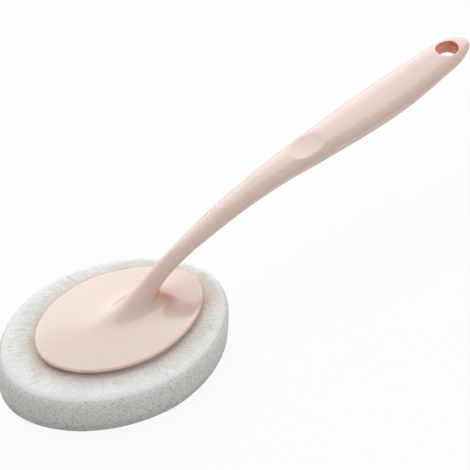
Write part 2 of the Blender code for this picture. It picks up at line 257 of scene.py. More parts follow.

# shares of the painted shade, a deeper redder colour that stands in for shade and light bounced
# between pink faces: in the hole, in the crotch behind the neck and along the belly
HOLE_PAINTED_SHADE = 0.9
CROTCH_PAINTED_SHADE = 0.75
BELLY_PAINTED_SHADE = 0.30
CROTCH_PLACE = (0.0310, 0.0, 0.0350)
CROTCH_SHADE_WIDTH = 0.009
BELLY_SHARES = (0.55, 0.25)

PLASTIC_ROUGHNESS = (0.17, 0.27)
GRAIN_RISE = (0.0305, 0.0420)
PLASTIC_IOR = 1.65
PLASTIC_GLOSS = 1.0
PLASTIC_SCATTER = 0.5
PLASTIC_DEPTHS = (1.0, 0.36, 0.24)
PLASTIC_DEPTH_SCALE = 0.005
SPARK_GRAIN = 0.00035
SPARK_RELIEF = 0.0000005

# how finely the moulding is divided, round it and along it
AROUND_EVEN = 176
PARTING_TURNS = (0.005, 0.011, 0.020)
FLARE_RINGS = 110
ROUND_RINGS = 8
STEM_RINGS = 66
DIMPLE_RINGS = 86
GRIP_RINGS = 56
WINDOW_RINGS = 12
TIP_RINGS = 52
WINDOW_ANGLE = 50
SHEET_LOOPS = 5
EDGE_LOOPS = 9
WALL_LOOPS = 7
SHARP_ANGLE = 40


def turned_columns():
    """Angles round a section: evenly spaced, with a few more beside each parting line."""
    even = np.linspace(0, 2 * np.pi, AROUND_EVEN, endpoint=False)
    beside = np.outer([-1, 1], PARTING_TURNS).ravel()
    return np.sort(np.concatenate([even, np.pi / 2 + beside, 3 * np.pi / 2 + beside]))


def section(front, back, split, half_width, power, taper, angles):
    """Closed rings in the planes through two rail points each: front above, back below.

    Cosine and sine of the angle are each raised to 2/power, which squares the corners. The
    widest place lies at the share split from front to back. A taper above zero narrows the
    ring towards the front rail.
    """
    c, s = np.cos(angles)[None], np.sin(angles)[None]
    c, s = (np.sign(v) * np.abs(v) ** (2 / power[:, None]) for v in (c, s))
    middle = front + split[:, None] * (back - front)
    place = (middle[:, None] + np.maximum(c, 0)[..., None] * (front - middle)[:, None]
             + np.minimum(c, 0)[..., None] * (middle - back)[:, None])
    across = half_width[:, None] * s * (1 - taper[:, None] * c)
    return np.stack([place[..., 0], across, place[..., 1]], -1)


def ovals(length, width, centre, inset, height, power, egg, angles):
    """Level rings of an oval outline, each drawn in by an inset all round."""
    inset, height = np.broadcast_arrays(np.atleast_1d(np.asarray(inset, float)), height)
    front = np.column_stack([centre - length / 2 + inset, height])
    back = np.column_stack([centre + length / 2 - inset, height])
    same = np.ones(len(inset))
    return section(front, back, 0.5 * same, width / 2 - inset, power * same, egg * same, angles)


def bezier(start, pull_start, pull_end, end, share):
    """Cubic Bezier curve through start and end at each share of its run."""
    t = share[:, None]
    near = (1 - t) ** 3 * np.asarray(start) + 3 * (1 - t) ** 2 * t * np.asarray(pull_start)
    return near + 3 * (1 - t) * t ** 2 * np.asarray(pull_end) + t ** 3 * np.asarray(end)


def through(values, at, first_slope=None):
    """Cubic Hermite curve through values at the handle's stations.

    Its slopes come from the neighbouring stations. The first one may be given, where the
    curve carries on from another.
    """
    values = np.asarray(values)
    slopes = np.gradient(values, REACHES)
    if first_slope is not None:
        slopes[0] = first_slope
    low = np.clip(np.searchsorted(REACHES, at, side="right") - 1, 0, len(REACHES) - 2)
    gap = REACHES[low + 1] - REACHES[low]
    t = (at - REACHES[low]) / gap
    ends = (2 * t ** 3 - 3 * t ** 2 + 1) * values[low] + (3 * t ** 2 - 2 * t ** 3) * values[low + 1]
    return ends + gap * ((t ** 3 - 2 * t ** 2 + t) * slopes[low] + (t ** 3 - t ** 2) * slopes[low + 1])


def stem(reach):
    """Middle, upward normal, run direction and section sizes of the handle at each reach.

    Past the last station the run goes on straight, and the section shrinks as a
    superellipse of the distance, which rounds off the tip.
    """
    reach = np.asarray(reach, float)
    on_curve = np.minimum(reach, END)
    ahead, behind = np.minimum(on_curve + SLOPE_STEP, END), np.maximum(on_curve - SLOPE_STEP, NECK)
    low, height, high = (through(HEIGHTS, at, NECK_SLOPE) for at in (behind, on_curve, ahead))
    slope = np.arctan2(high - low, ahead - behind)
    normal = np.stack([-np.sin(slope), np.cos(slope)], -1)
    run = np.stack([np.cos(slope), np.sin(slope)], -1)
    past = np.clip((reach - END) / TIP_RUN, 0, 1)
    size = (1 - past ** TIP_POWER) ** (1 / TIP_POWER)
    middle = np.stack([on_curve, height], -1) + (past * TIP_RUN)[..., None] * run
    width, crown, belly = (size * through(v, on_curve, 0) for v in (WIDTHS, CROWNS, BELLIES))
    return middle, normal, run, width / 2, crown, belly, through(POWERS, on_curve)


def stem_rings(reach, angles):
    """Rings across the handle at each reach."""
    middle, normal, _, half_width, crown, belly, power = stem(reach)
    front, back = middle + crown[:, None] * normal, middle - belly[:, None] * normal
    split = crown / (crown + belly)
    return section(front, back, split, half_width, power, 0 * power, angles)


def flare_rings(share, angles):
    """Rings that carry the plate's top up into the neck, each tilted a little more.

    The front rail climbs as a power of its run, eased so that it meets the stem's slope. The
    back rail runs in along the plate, turns up in the crotch and leaves along the stem. The
    plate is slightly domed: a paraboloid is added, which fades out up the neck.
    """
    middle, normal, run, half_width, crown, belly, power = (v[0] for v in stem([NECK]))
    front_end, back_end = middle + crown * normal, middle - belly * normal
    front_start = np.array([HEAD_CENTRE - HEAD_LENGTH / 2 + RIM_ROUND, HEAD_TOP])
    back_start = np.array([HEAD_CENTRE + HEAD_LENGTH / 2 - RIM_ROUND, HEAD_TOP])
    forth, rise = front_end - front_start
    ease = RIDGE_POWER - NECK_SLOPE * forth / rise
    climb = share ** RIDGE_POWER * (1 + ease * (1 - share))
    front = front_start + np.column_stack([forth * share, rise * climb])
    back = bezier(back_start, (CROTCH_START, HEAD_TOP), back_end - CROTCH_PULL * run, back_end, share)
    split = 0.5 + (crown / (crown + belly) - 0.5) * share
    wide = HEAD_WIDTH / 2 - RIM_ROUND
    width = half_width + (wide - half_width) * (1 - share) ** FLARE_POWER
    squareness = HEAD_POWER + (power - HEAD_POWER) * share
    taper = HEAD_EGG * (1 - share) ** 2
    rings = section(front, back, split, width, squareness, taper, angles)
    half_length = HEAD_LENGTH / 2 - RIM_ROUND
    away = ((rings[..., 0] - HEAD_CENTRE) / half_length) ** 2 + (rings[..., 1] / wide) ** 2
    rings[..., 2] += HEAD_DOME * np.clip(1 - away, 0, 1) * (1 - share[:, None])
    return rings


def dip(points):
    """Press the thumb dimple into points of the crown.

    The dimple is the underside of an ellipsoid whose footprint, a share of its equator, has
    the dimple's length and width. Crown and dimple meet in a polynomial smooth minimum,
    which rounds the edge.
    """
    middle, normal, run, _, crown, _, _ = (v[0] for v in stem([DIMPLE_REACH]))
    tall = DIMPLE_DEPTH / (1 - np.sqrt(1 - DIMPLE_FOOTPRINT ** 2))
    off = points[..., [0, 2]] - middle
    forth, rise = off @ run, off @ normal
    equator = np.array([DIMPLE_LENGTH, DIMPLE_WIDTH]) / 2 / DIMPLE_FOOTPRINT
    away = (forth / equator[0]) ** 2 + (points[..., 1] / equator[1]) ** 2
    dish = crown + tall - DIMPLE_DEPTH - tall * np.sqrt(np.clip(1 - away, 0, 1))
    near = np.clip(1 - np.abs(rise - dish) / DIMPLE_EDGE, 0, 1)
    pressed = np.minimum(rise, dish) - near ** 2 * DIMPLE_EDGE / 4
    pressed = np.where((away < 1) & (rise > 0), pressed, rise)
    flat = middle + forth[..., None] * run + pressed[..., None] * normal
    return np.stack([flat[..., 0], points[..., 1], flat[..., 1]], -1)


def face(x, y, side):
    """Height of the grip's crown (side 1) or belly (side -1) above a place in plan.

    The reach whose section passes over that place is found by stepping towards it.
    """
    reach = np.array(x, float)
    for _ in range(FACE_STEPS):
        middle, normal, _, half_width, crown, belly, power = stem(reach)
        bulge = np.clip(1 - np.abs(y / half_width) ** power, 0, 1) ** (1 / power)
        rise = bulge * (crown if side > 0 else -belly)
        reach = reach + x - (middle[..., 0] + rise * normal[..., 0])
    return middle[..., 1] + rise * normal[..., 1]


def wrap(low, high):
    """Four-cornered faces between two closed loops of point numbers, low to high."""
    return np.stack([low, high, np.roll(high, -1, -1), np.roll(low, -1, -1)], -1).reshape(-1, 4)


def fan(loop, pole):
    """Triangles from a closed loop of point numbers to one point."""
    return np.stack([loop, np.full_like(loop, pole), np.roll(loop, -1)], -1)


def surface(name, points, quads, triangles, finish, sharp=SHARP_ANGLE):
    """Object of a closed mesh from points, four-cornered faces and triangles.

    Points that no face uses are left out, and the numbers of the others are given back.
    """
    corners = np.concatenate([np.ravel(quads), np.ravel(triangles)]).astype(int)
    used, corners = np.unique(corners, return_inverse=True)
    sides = np.concatenate([np.full(len(quads), 4), np.full(len(triangles), 3)]).astype(int)
    mesh = bpy.data.meshes.new(name)
    mesh.vertices.add(len(used))
    mesh.vertices.foreach_set("co", points[used].astype(np.float32).ravel())
    mesh.loops.add(len(corners))
    mesh.loops.foreach_set("vertex_index", corners.astype(np.int32))
    mesh.polygons.add(len(sides))
    mesh.polygons.foreach_set("loop_start", (np.cumsum(sides) - sides).astype(np.int32))
    mesh.update(calc_edges=True)
    mesh.shade_smooth()
    if sharp:
        mesh.set_sharp_from_angle(angle=np.radians(sharp))
    mesh.materials.append(finish)
    made = bpy.data.objects.new(name, mesh)
    bpy.context.scene.collection.objects.link(made)
    return made, used


def add_tone(made, name, values):
    """Give an object's mesh a value per point, which its material reads."""
    made.data.attributes.new(name, "FLOAT", "POINT").data.foreach_set("value", values.astype(np.float32))


def handle_mesh():
    """Points, quads and triangles of the whole moulding, and its share of painted shade at each point.

    Rings run from the middle of the recess under the plate, over the rim, up the neck and
    along the grip to the tip. Two windows in the crown and belly round the hanging hole are
    left out, and loops carry the surface from one window through the hole to the other.
    """
    angles = turned_columns()
    count = len(angles)
    margin = HOOK_MARGIN - HOOK_CLEARANCE
    turn = np.linspace(0, np.pi / 2, ROUND_RINGS)
    ceiling = HOOK_TOP + HOOK_CLEARANCE
    under = [(inset, ceiling) for inset in (*RECESS_INSETS, margin + RECESS_EDGE, margin)]
    under += [(margin - RECESS_ROUND * (1 - np.cos(a)), HEAD_BOTTOM + RECESS_ROUND * (1 - np.sin(a)))
              for a in turn[::2]]
    under += [(inset, HEAD_BOTTOM) for inset in LIP_INSETS]
    lower = [(RIM_ROUND * (1 - np.sin(a)), HEAD_BOTTOM + RIM_ROUND * (1 - np.cos(a))) for a in turn]
    upper = [(RIM_ROUND * (1 - np.cos(a)), HEAD_TOP - RIM_ROUND * (1 - np.sin(a))) for a in turn]
    insets, heights = np.array(under + lower + upper).T
    plate = ovals(HEAD_LENGTH, HEAD_WIDTH, HEAD_CENTRE, insets, heights, HEAD_POWER, HEAD_EGG, angles)
    share = np.linspace(0, 1, FLARE_RINGS)[1:]
    flare = flare_rings(share, angles)
    reach = np.unique(np.concatenate([
        np.linspace(NECK, DIMPLE_BAND[0], STEM_RINGS)[1:],
        np.linspace(*DIMPLE_BAND, DIMPLE_RINGS),
        np.linspace(DIMPLE_BAND[1], HOLE_REACH - WINDOW[0], GRIP_RINGS),
        np.linspace(HOLE_REACH - WINDOW[0], END, WINDOW_RINGS),
        END + TIP_RUN * np.sin(np.linspace(0, np.pi / 2, TIP_RINGS)[1:-1]) ** (2 / TIP_POWER)]))
    shaft = dip(stem_rings(reach, angles))
    rings = np.concatenate([plate, flare, shaft])
    share_of = np.concatenate([np.zeros(len(plate)), share, np.ones(len(reach))])

    # witness line: a low ridge where the section is widest, fading out on the plate
    seam = [int(np.argmin(np.abs(angles - a))) for a in (np.pi / 2, 3 * np.pi / 2)]
    for column, side in zip(seam, (1, -1)):
        off = np.linalg.norm(rings - rings[:, column:column + 1], axis=-1)
        fade = np.clip((share_of - PARTING_START) / PARTING_FADE, 0, 1)[:, None]
        near = np.abs(angles - angles[column]) < PARTING_SPREAD
        rings[..., 1] += side * near * fade * PARTING_HEIGHT * np.exp(-(off / PARTING_WIDTH) ** 2)

    # painted shade and bounced light: round the crotch, and along the belly of the stem and grip
    off = np.linalg.norm(rings - CROTCH_PLACE, axis=-1)
    under_stem = np.clip((share_of - BELLY_SHARES[0]) / BELLY_SHARES[1], 0, 1)[:, None]
    painted_shade = np.maximum(CROTCH_PAINTED_SHADE * np.exp(-(off / CROTCH_SHADE_WIDTH) ** 2),
                        BELLY_PAINTED_SHADE * under_stem * np.clip(-np.cos(angles), 0, 1)).ravel()

    points = rings.reshape(-1, 3)
    number = np.arange(len(points)).reshape(len(rings), count)
    keep = np.ones((len(rings) - 1, count), bool)
    shaft_from = len(plate) + len(flare)
    first = shaft_from + int(np.searchsorted(reach, HOLE_REACH - WINDOW[0]))
    last = shaft_from + int(np.searchsorted(reach, HOLE_REACH + WINDOW[1]))
    half = int(np.searchsorted(angles, np.radians(WINDOW_ANGLE)))
    crown_columns = np.arange(-half, half + 1) % count
    belly_columns = (count // 2 - np.arange(-half, half + 1)) % count
    for columns in (crown_columns[:-1], belly_columns[1:]):
        keep[first:last, columns] = False
    quads = wrap(number[:-1], number[1:])[keep.ravel()]

    def window(columns):
        """Point numbers round a window's edge, in one turn."""
        return np.concatenate([number[first, columns], number[first + 1:last, columns[-1]],
                               number[last, columns[::-1]], number[first + 1:last, columns[0]][::-1]])

    outer = [window(crown_columns), window(belly_columns)]
    centre = np.array([HOLE_REACH, 0.0])
    sizes = np.array([HOLE_LENGTH, HOLE_WIDTH]) / 2
    bearing = np.mean([(points[o][:, :2] - centre) / sizes for o in outer], axis=0)
    bearing = np.arctan2(bearing[:, 1], bearing[:, 0])
    c, s = (np.sign(v) * np.abs(v) ** (2 / HOLE_POWER) for v in (np.cos(bearing), np.sin(bearing)))

    def rim(inset):
        """Hole's outline in plan, moved outwards by an inset."""
        return centre + np.column_stack([(sizes[0] + inset) * c, (sizes[1] + inset) * s])

    loops = []
    for side, edge in zip((1, -1), outer):
        sheet = []
        start = points[edge][:, :2]
        for k in np.linspace(0, 1, SHEET_LOOPS + 2)[1:-1]:
            plan = start + k * (rim(HOLE_ROUND) - start)
            sheet.append(np.column_stack([plan, face(plan[:, 0], plan[:, 1], side)]))
        for a in np.linspace(np.pi / 2, 0, EDGE_LOOPS):
            plan = rim(HOLE_ROUND * (1 - np.cos(a)))
            drop = HOLE_ROUND * (1 - np.sin(a))
            sheet.append(np.column_stack([plan, face(plan[:, 0], plan[:, 1], side) - side * drop]))
        loops.append(sheet)
    crown_side, belly_side = loops
    wall = [crown_side[-1] + k * (belly_side[-1] - crown_side[-1])
            for k in np.linspace(0, 1, WALL_LOOPS + 2)[1:-1]]
    inner = crown_side + wall + belly_side[::-1]
    numbers = np.arange(len(inner) * len(bearing)).reshape(len(inner), -1) + len(points)
    loops = [outer[0], *numbers, outer[1]]
    through_hole = np.concatenate([wrap(a, b) for a, b in zip(loops, loops[1:])])
    points = np.concatenate([points, *inner])
    # painted shade: the hole's wall is painted deeper, fading out towards both lips
    lip, deep, end = SHEET_LOOPS - 1, SHEET_LOOPS + EDGE_LOOPS - 2, len(inner) - 1
    depth = np.interp(np.arange(len(inner)), [lip, deep, end - deep, end - lip], [0, 1, 1, 0])
    painted_shade = np.concatenate([painted_shade, np.repeat(HOLE_PAINTED_SHADE * depth, len(bearing)), [0, 0]])

    # the two ends close on a point each, in the recess and at the tip
    tip = stem([TIP_REACH])[0][0]
    first_pole = len(points)
    points = np.concatenate([points, [[HEAD_CENTRE, 0, ceiling], [tip[0], 0, tip[1]]]])
    triangles = np.concatenate([fan(number[0], first_pole)[:, ::-1], fan(number[-1], first_pole + 1)])
    return points, np.concatenate([quads, through_hole]), triangles, painted_shade


def plastic():
    """Moulded polypropylene in pale pink, with the mould's fine spark-eroded grain.

    The plate is nearly polished and mirrors the stem and the studio softly. Up the neck the
    grain sets in and makes the grip satin. Light sinks a little way in, so thin edges glow
    warmer than the open faces. In the hole, the crotch and under the stem the colour is
    painted deeper and redder, as painted shade and bounced light, where light passes back
    and forth between pink faces. The grain is drawn coarser than the real one, about 0.05 mm,
    which would be too fine to show.
    """
    made = bpy.data.materials.new("moulded_polypropylene")
    tree = fresh_tree(made)
    place = node(tree, "TexCoord").outputs["Object"]
    cloud = node(tree, "TexNoise", None, {"Vector": place, "Scale": 1 / PLASTIC_CLOUD, "Detail": 2.0})
    tint = blend(tree, cloud.outputs["Fac"], linear(PLASTIC_PINK), linear(PLASTIC_PINK_DEEP))
    # painted shade and bounced light: a deeper redder colour mixed in by each point's share
    painted_shade = node(tree, "Attribute", {"attribute_name": "painted_shade"}).outputs["Fac"]
    tint = blend(tree, painted_shade, tint, linear(PLASTIC_PAINTED_SHADE))
    grain = node(tree, "TexNoise", None, {"Vector": place, "Scale": 1 / SPARK_GRAIN, "Detail": 2.0})
    relief = node(tree, "Bump", None, {
        "Strength": 1.0, "Distance": SPARK_RELIEF, "Height": grain.outputs["Fac"]})
    rise = node(tree, "SeparateXYZ", None, {0: place}).outputs["Z"]
    satin = node(tree, "MapRange", {"interpolation_type": "SMOOTHSTEP"}, {
        "Value": rise, "From Min": GRAIN_RISE[0], "From Max": GRAIN_RISE[1],
        "To Min": PLASTIC_ROUGHNESS[0], "To Max": PLASTIC_ROUGHNESS[1]})
    shader = node(tree, "BsdfPrincipled", None, {
        "Base Color": tint, "Roughness": satin.outputs[0], "Normal": relief.outputs[0],
        "IOR": PLASTIC_IOR, "Specular IOR Level": PLASTIC_GLOSS, "Subsurface Weight": PLASTIC_SCATTER,
        "Subsurface Radius": PLASTIC_DEPTHS, "Subsurface Scale": PLASTIC_DEPTH_SCALE})
    node(tree, "OutputMaterial", None, {"Surface": shader.outputs[0]})
    return made


*mesh, painted_shade = handle_mesh()
handle, used = surface("handle_moulding", *mesh, plastic())
add_tone(handle, "painted_shade", painted_shade[used])
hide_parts("handle")
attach(handle, "brush_handle")

# Hook sheet. Nylon hooks moulded on a thin woven back, cut to an oval and stuck into the
# recess under the plate. Rows of small J-shaped hooks face each way in turn.
HOOK_FILM = 0.00242
HOOK_ROW = 0.0020
HOOK_PITCH = 0.0016
HOOK_EDGE = 0.0013
HOOK_STALK = 0.00042
HOOK_CURL = 0.00017
HOOK_THICK = 0.00011
HOOK_FINE = 0.00006
HOOK_TURN = 1.25
HOOK_SHANK = 0.6
HOOK_SUNK = 0.00003
HOOK_STEPS = 8
FILM_COLUMNS = 128
FILM_INSETS = (0.034, 0.020)
FILM_ROUND = 0.0001
NYLON_WHITE = "#DAD9D2"
NYLON_SHADE = "#CFCEC6"
NYLON_CLOUD = 0.004
NYLON_ROUGHNESS = 0.45
NYLON_IOR = 1.53
NYLON_SCATTER = 0.2
NYLON_DEPTHS = (1.0, 0.9, 0.8)
NYLON_DEPTH_SCALE = 0.0006


def nylon():
    """Moulded nylon, milky and a little waxy, so the hooks look off-white with soft glints."""
    made = bpy.data.materials.new("moulded_nylon")
    tree = fresh_tree(made)
    place = node(tree, "TexCoord").outputs["Object"]
    cloud = node(tree, "TexNoise", None, {"Vector": place, "Scale": 1 / NYLON_CLOUD, "Detail": 2.0})
    tint = blend(tree, cloud.outputs["Fac"], linear(NYLON_WHITE), linear(NYLON_SHADE))
    shader = node(tree, "BsdfPrincipled", None, {
        "Base Color": tint, "Roughness": NYLON_ROUGHNESS, "IOR": NYLON_IOR,
        "Subsurface Weight": NYLON_SCATTER, "Subsurface Radius": NYLON_DEPTHS,
        "Subsurface Scale": NYLON_DEPTH_SCALE})
    node(tree, "OutputMaterial", None, {"Surface": shader.outputs[0]})
    return made


def hook_film():
    """Oval slab of the woven back, with its lower face where the hooks stand."""
    angles = np.linspace(0, 2 * np.pi, FILM_COLUMNS, endpoint=False)
    top = HOOK_TOP
    low = top - HOOK_FILM
    inwards = [*FILM_INSETS, HOOK_MARGIN + FILM_ROUND, HOOK_MARGIN]
    insets = inwards + inwards[::-1]
    heights = [low, low, low, low + FILM_ROUND, top - FILM_ROUND, top, top, top]
    rings = ovals(HEAD_LENGTH, HEAD_WIDTH, HEAD_CENTRE, insets, heights, HEAD_POWER, HEAD_EGG, angles)
    number = np.arange(rings[..., 0].size).reshape(len(rings), -1)
    points = np.concatenate([rings.reshape(-1, 3), [[HEAD_CENTRE, 0, low], [HEAD_CENTRE, 0, top]]])
    triangles = np.concatenate([fan(number[0], number.size)[:, ::-1], fan(number[-1], number.size + 1)])
    return points, wrap(number[:-1], number[1:]), triangles


def hook_field():
    """Rows of J-shaped hooks: each a tapered square rod that stands down and curls over."""
    half = np.array([HEAD_LENGTH, HEAD_WIDTH]) / 2 - HOOK_MARGIN - HOOK_EDGE
    rows = np.arange(-half[0], half[0], HOOK_ROW)
    lines = np.arange(-half[1], half[1], HOOK_PITCH)
    x, y = (v.ravel() for v in np.meshgrid(rows, lines, indexing="ij"))
    row = np.repeat(np.arange(len(rows)), len(lines))
    y = y + (row % 2) * HOOK_PITCH / 2
    room = np.abs(x / half[0]) ** HEAD_POWER + np.abs(y / half[1]) ** HEAD_POWER < 1
    x, y, facing = x[room] + HEAD_CENTRE, y[room], np.where(row[room] % 4 < 2, 1.0, -1.0)
    root = HOOK_TOP - HOOK_FILM + HOOK_SUNK
    turn = np.linspace(0, HOOK_TURN * np.pi, HOOK_STEPS - 2)
    forth = np.concatenate([[0, 0], HOOK_CURL * (1 - np.cos(turn))])
    down = np.concatenate([[0, HOOK_STALK * HOOK_SHANK], HOOK_STALK + HOOK_CURL * np.sin(turn)])
    heading = np.concatenate([[0, 0], turn])
    thick = np.linspace(HOOK_THICK, HOOK_FINE, HOOK_STEPS)
    corner = np.array([(1, 1), (-1, 1), (-1, -1), (1, -1)])
    side_x = np.cos(heading)[:, None] * corner[:, 0] * thick[:, None]
    side_z = -np.sin(heading)[:, None] * corner[:, 0] * thick[:, None]
    place_x = x[:, None, None] + facing[:, None, None] * (forth[:, None] + side_x)
    place_y = y[:, None, None] + facing[:, None, None] * corner[:, 1] * thick[:, None]
    place_z = root - (down[:, None] + side_z)
    rings = np.stack(np.broadcast_arrays(place_x, place_y, place_z), -1)
    number = np.arange(rings[..., 0].size).reshape(len(x), HOOK_STEPS, 4)
    quads = wrap(number[:, :-1], number[:, 1:])
    caps = np.concatenate([number[:, 0], number[:, -1, ::-1]])
    return rings.reshape(-1, 3), np.concatenate([quads, caps]), np.zeros((0, 3), int)


nylon_finish = nylon()
for name, mesh in (("hook_sheet_back", hook_film()), ("hook_field", hook_field())):
    made, _ = surface(name, *mesh, nylon_finish)
    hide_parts("hook_sheet")
    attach(made, "brush_handle")

# Loop face. Napped polyester cloth laminated on the foam; its brushed fibres lie outwards
# from under the plate, loose and hair-fine, and it turns down over the pad's soft shoulder.
PAD_LENGTH = 0.145
PAD_WIDTH = 0.1076
PAD_POWER = 1.87
PAD_EGG = -0.016
PAD_BOTTOM_ROUND = 0.0043
PAD_TOP_ROUND = 0.0054
PAD_SIDE_CROWN = 0.0006
SCOUR_TOP = 0.00715
CORE_TOP = 0.02325
PAD_CELLS = 270
ROW_STEP = 0.00037
PROFILE_STEPS = 4000

# the nap's fibres lie combed outwards, over a fine felt and a slow swell that runs right
# through the pad; painted shade darkens the felt's low places, and a painted brown ring
# round the plate stands in for its contact shadow
NAP_WHITE = "#F4F4F2"
NAP_SHADE = "#D2D2CC"
NAP_SHADOW_BROWN = "#D4B096"
CONTACT_SHADOW_SHARE = 0.40
CONTACT_SHADOW_WIDTH = 0.0072
NAP_ROUGHNESS = 0.95
NAP_SHEEN = 0.25
NAP_SPECK = 0.0011
NAP_SETTLE = 0.0001
NAP_SHADE_BASE = 0.06
COMB_RADIUS = 0.06
COMB_WIDTH = 0.0006
COMB_LENGTH = 0.0045

STREAK_RELIEF = 0.00002
STREAK_SHADE = 0.05
FELT_SIZE = 0.0005
FELT_RELIEF = 0.00003
FELT_SHADE = 0.14
SWELL_SIZE = 0.009
SWELL_RELIEF = 0.00008

MOTTLE_SPAN = (0.3, 0.7)
MOTTLE_SHADE = 0.35
FUZZ_STRENGTH = 0.6
FUZZ_RELIEF = 0.00012
FIBRE_GLOSS = 0.15
SHEEN_ROUGHNESS = 0.6
STREAK_SEED, FELT_SEED, SWELL_SEED = 11, 12, 13


def lattice(corner, seed):
    """Random value from 0 to 1 at each whole-numbered corner, always the same for a seed."""
    mixed = np.full(corner.shape[:-1], seed, np.uint32)
    for axis, factor in enumerate((73856093, 19349663, 83492791)):
        mixed = mixed ^ ((corner[..., axis] & 0xFFFFFFFF).astype(np.uint32) * np.uint32(factor))
        mixed = (mixed ^ (mixed >> np.uint32(15))) * np.uint32(2246822519)
        mixed = mixed ^ (mixed >> np.uint32(13))
    return mixed / 2.0 ** 32


def grain(points, size, seed):
    """Smooth random relief from -1 to 1: values at a lattice of that size, blended between."""
    at = points / size
    low = np.floor(at).astype(np.int64)
    t = at - low
    t = t * t * (3 - 2 * t)
    total = 0
    for corner in np.ndindex(2, 2, 2):
        weight = np.prod(np.where(corner, t, 1 - t), axis=-1)
        total = total + weight * lattice(low + corner, seed)
    return 2 * total - 1


def swelling(points):
    """Slow rise and fall of the whole pad's surface."""
    return SWELL_RELIEF * grain(points, SWELL_SIZE, SWELL_SEED)


def craters(points, size, radius, chance, seed):
    """Depth from 0 to 1 of round pores: one to a cell at most, at a random place and size.

    The depth falls off with the square of the distance from the pore's centre.
    """
    at = points / size
    low = np.floor(at).astype(np.int64)
    deepest = np.zeros(len(points))
    for corner in np.ndindex(3, 3, 3):
        cell = low + corner - 1
        centre = cell + np.stack([lattice(cell, seed + k) for k in (1, 2, 3)], -1)
        reach = radius / size * (0.5 + 0.5 * lattice(cell, seed + 4)) * (lattice(cell, seed + 5) < chance)
        away = np.linalg.norm(at - centre, axis=-1) / np.maximum(reach, 1e-6)
        deepest = np.maximum(deepest, np.clip(1 - away ** 2, 0, 1))
    return deepest


def pad_inset(height):
    """How far the pad's side is drawn in at a height: rounded edges and a crowned side."""
    crown = PAD_SIDE_CROWN * (2 * height / PAD_TOP - 1) ** 2
    into_bottom = np.clip(1 - height / PAD_BOTTOM_ROUND, 0, 1)
    into_top = np.clip(1 - (PAD_TOP - height) / PAD_TOP_ROUND, 0, 1)
    bottom = PAD_BOTTOM_ROUND * (1 - np.sqrt(1 - into_bottom ** 2))
    return crown + bottom + PAD_TOP_ROUND * (1 - np.sqrt(1 - into_top ** 2))


def pad_profile(low, high):
    """Insets and heights up the pad's side, evenly spaced along its curve."""
    swing = np.linspace(0, np.pi, PROFILE_STEPS)
    height = PAD_TOP * (1 - np.cos(swing)) / 2
    height = np.unique(np.clip(height, low, high))
    inset = pad_inset(height)
    run = np.concatenate([[0], np.cumsum(np.hypot(np.diff(inset), np.diff(height)))])
    at = np.linspace(0, run[-1], int(round(run[-1] / ROW_STEP)) + 1)
    return np.interp(at, run, inset), np.interp(at, run, height)


def disc(cells):
    """Square grid bent into a disc: each square ring becomes a circle, evenly divided.

    Gives every point's share of the radius, its angle, and the grid of point numbers. Points
    on the outer circle are numbered by their place round it and the others come after them.
    """
    u, v = np.meshgrid(*[np.linspace(-1, 1, cells + 1)] * 2, indexing="ij")
    reach = np.maximum(np.abs(u), np.abs(v))
    wide = np.abs(u) >= np.abs(v)
    safe = np.where(reach < 1e-9, 1, np.where(wide, u, v))
    angle = np.where(wide, np.pi / 4 * v / safe, np.pi / 2 - np.pi / 4 * u / safe)
    angle = angle + np.pi * (safe < 0)
    edge = reach > 1 - 1e-9
    number = np.zeros(u.shape, int)
    number[edge] = np.round(angle[edge] / (2 * np.pi) * 4 * cells).astype(int) % (4 * cells)
    number[~edge] = 4 * cells + np.arange((~edge).sum())
    return reach[~edge], angle[~edge], number


def pad_layer(low, high, open_bottom, open_top):
    """Points, unit normals, quads and triangles of one closed layer of the pad.

    Rings follow the pad's side. A face that shows is a disc of small cells, and one that
    the next layer covers is a plain fan.
    """
    angles = np.arange(4 * PAD_CELLS) * (np.pi / 2 / PAD_CELLS)
    insets, heights = pad_profile(low, high)
    rings = ovals(PAD_LENGTH, PAD_WIDTH, 0, insets, heights, PAD_POWER, PAD_EGG, angles)
    up_way = np.gradient(rings, axis=0)
    round_way = np.roll(rings, -1, 1) - np.roll(rings, 1, 1)
    normals = np.cross(up_way, round_way)
    normals /= np.linalg.norm(normals, axis=-1, keepdims=True)
    number = np.arange(rings[..., 0].size).reshape(len(rings), -1)
    points, normals = rings.reshape(-1, 3), normals.reshape(-1, 3)
    quads, triangles = [wrap(number[:-1], number[1:])], []
    for edge, shown, way in ((0, open_bottom, -1), (-1, open_top, 1)):
        upright = np.array([0, 0, way], float)
        if shown:
            reach, angle, grid = disc(PAD_CELLS)
            ring = ovals(PAD_LENGTH, PAD_WIDTH, 0, insets[edge], heights[edge], PAD_POWER, PAD_EGG, angle)[0]
            ring[:, :2] *= reach[:, None]
            inside = len(points) + np.arange(len(ring)) - 4 * PAD_CELLS
            grid = np.concatenate([number[edge], inside + 4 * PAD_CELLS])[grid]
            cells = np.stack([grid[:-1, :-1], grid[1:, :-1], grid[1:, 1:], grid[:-1, 1:]], -1).reshape(-1, 4)
            quads.append(cells[:, ::-way])
        else:
            ring = np.array([[0, 0, heights[edge]]])
            triangles.append(fan(number[edge], len(points))[:, ::way])
        points = np.concatenate([points, ring])
        normals = np.concatenate([normals, np.tile(upright, (len(ring), 1))])
    triangles = np.concatenate(triangles) if triangles else np.zeros((0, 3), int)
    return points, normals, np.concatenate(quads), triangles


def off_plate(points):
    """Level distance from the plate's outline, above zero outside it."""
    off = points[:, :2] - (HEAD_CENTRE, 0)
    share = np.sum(np.abs(off / (HEAD_LENGTH / 2, HEAD_WIDTH / 2)) ** HEAD_POWER, axis=1) ** (1 / HEAD_POWER)
    return np.linalg.norm(off, axis=1) * (1 - 1 / np.maximum(share, 0.05))


